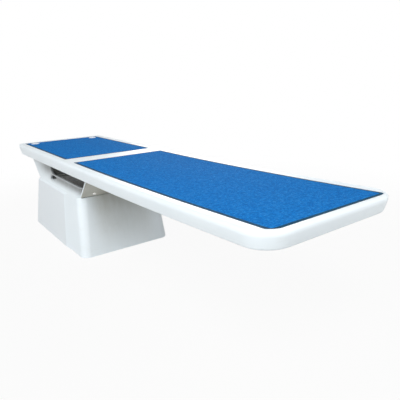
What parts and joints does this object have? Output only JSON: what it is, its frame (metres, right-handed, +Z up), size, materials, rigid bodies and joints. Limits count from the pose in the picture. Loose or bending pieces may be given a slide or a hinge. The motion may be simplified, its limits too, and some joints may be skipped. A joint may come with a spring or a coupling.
{
  "type": "pool diving platform",
  "caption": "Low fixed pool diving platform: a long rimmed board with blue grit treads on a hollow flared pedestal with a leaning front plate.",
  "frame": {"origin": "on the deck, under the middle of the board's length and width", "axes": "+X along the board to the end over the water, +Y to the board's left side, +Z up from the deck"},
  "size_m": [2, 0.5, 0.4646],
  "materials": {
    "white_gelcoat": "glossy gelcoat with faint mould waviness",
    "raw_laminate": "rough grey laminate",
    "blue_grit": "coarse non-slip grit, speckled",
    "timber": "plain sawn softwood",
    "black_rubber": "matt",
    "stainless_steel": "brushed",
    "galvanised_steel": "dull zinc"
  },
  "bodies": {
    "root": {"board_shell": "white_gelcoat", "board_base": "raw_laminate", "tread_rear": "blue_grit", "tread_front": "blue_grit", "cap_left": "white_gelcoat", "cap_right": "white_gelcoat", "stringer_left": "timber", "stringer_center": "timber", "stringer_right": "timber", "bolt_block_left": "timber", "bolt_block_right": "timber", "pedestal_shell": "white_gelcoat", "front_plate": "white_gelcoat", "gusset_left": "stainless_steel", "gusset_center": "stainless_steel", "gusset_right": "stainless_steel", "web_bolt_left": "stainless_steel", "web_bolt_center": "stainless_steel", "web_bolt_right": "stainless_steel", "web_nut_left": "stainless_steel", "web_nut_center": "stainless_steel", "web_nut_right": "stainless_steel", "foot_bolt_left": "stainless_steel", "foot_bolt_center": "stainless_steel", "foot_bolt_right": "stainless_steel", "board_screw_left": "stainless_steel", "board_screw_center": "stainless_steel", "board_screw_right": "stainless_steel", "rear_pad": "black_rubber", "front_pad": "black_rubber", "base_rail_left": "galvanised_steel", "base_rail_right": "galvanised_steel", "front_leg_left": "galvanised_steel", "front_leg_right": "galvanised_steel", "rear_leg_left": "galvanised_steel", "rear_leg_right": "galvanised_steel", "front_beam": "galvanised_steel", "rear_beam": "galvanised_steel", "rear_bracket_left": "galvanised_steel", "rear_bracket_right": "galvanised_steel", "rear_bolt_left": "galvanised_steel", "rear_bolt_right": "galvanised_steel", "rear_nut_left": "galvanised_steel", "rear_nut_right": "galvanised_steel", "bracket_bolt_left": "galvanised_steel", "bracket_bolt_right": "galvanised_steel", "anchor_stud_front_left": "stainless_steel", "anchor_stud_front_right": "stainless_steel", "anchor_stud_rear_left": "stainless_steel", "anchor_stud_rear_right": "stainless_steel", "anchor_nut_front_left": "stainless_steel", "anchor_nut_front_right": "stainless_steel", "anchor_nut_rear_left": "stainless_steel", "anchor_nut_rear_right": "stainless_steel"}
  },
  "joints": []
}
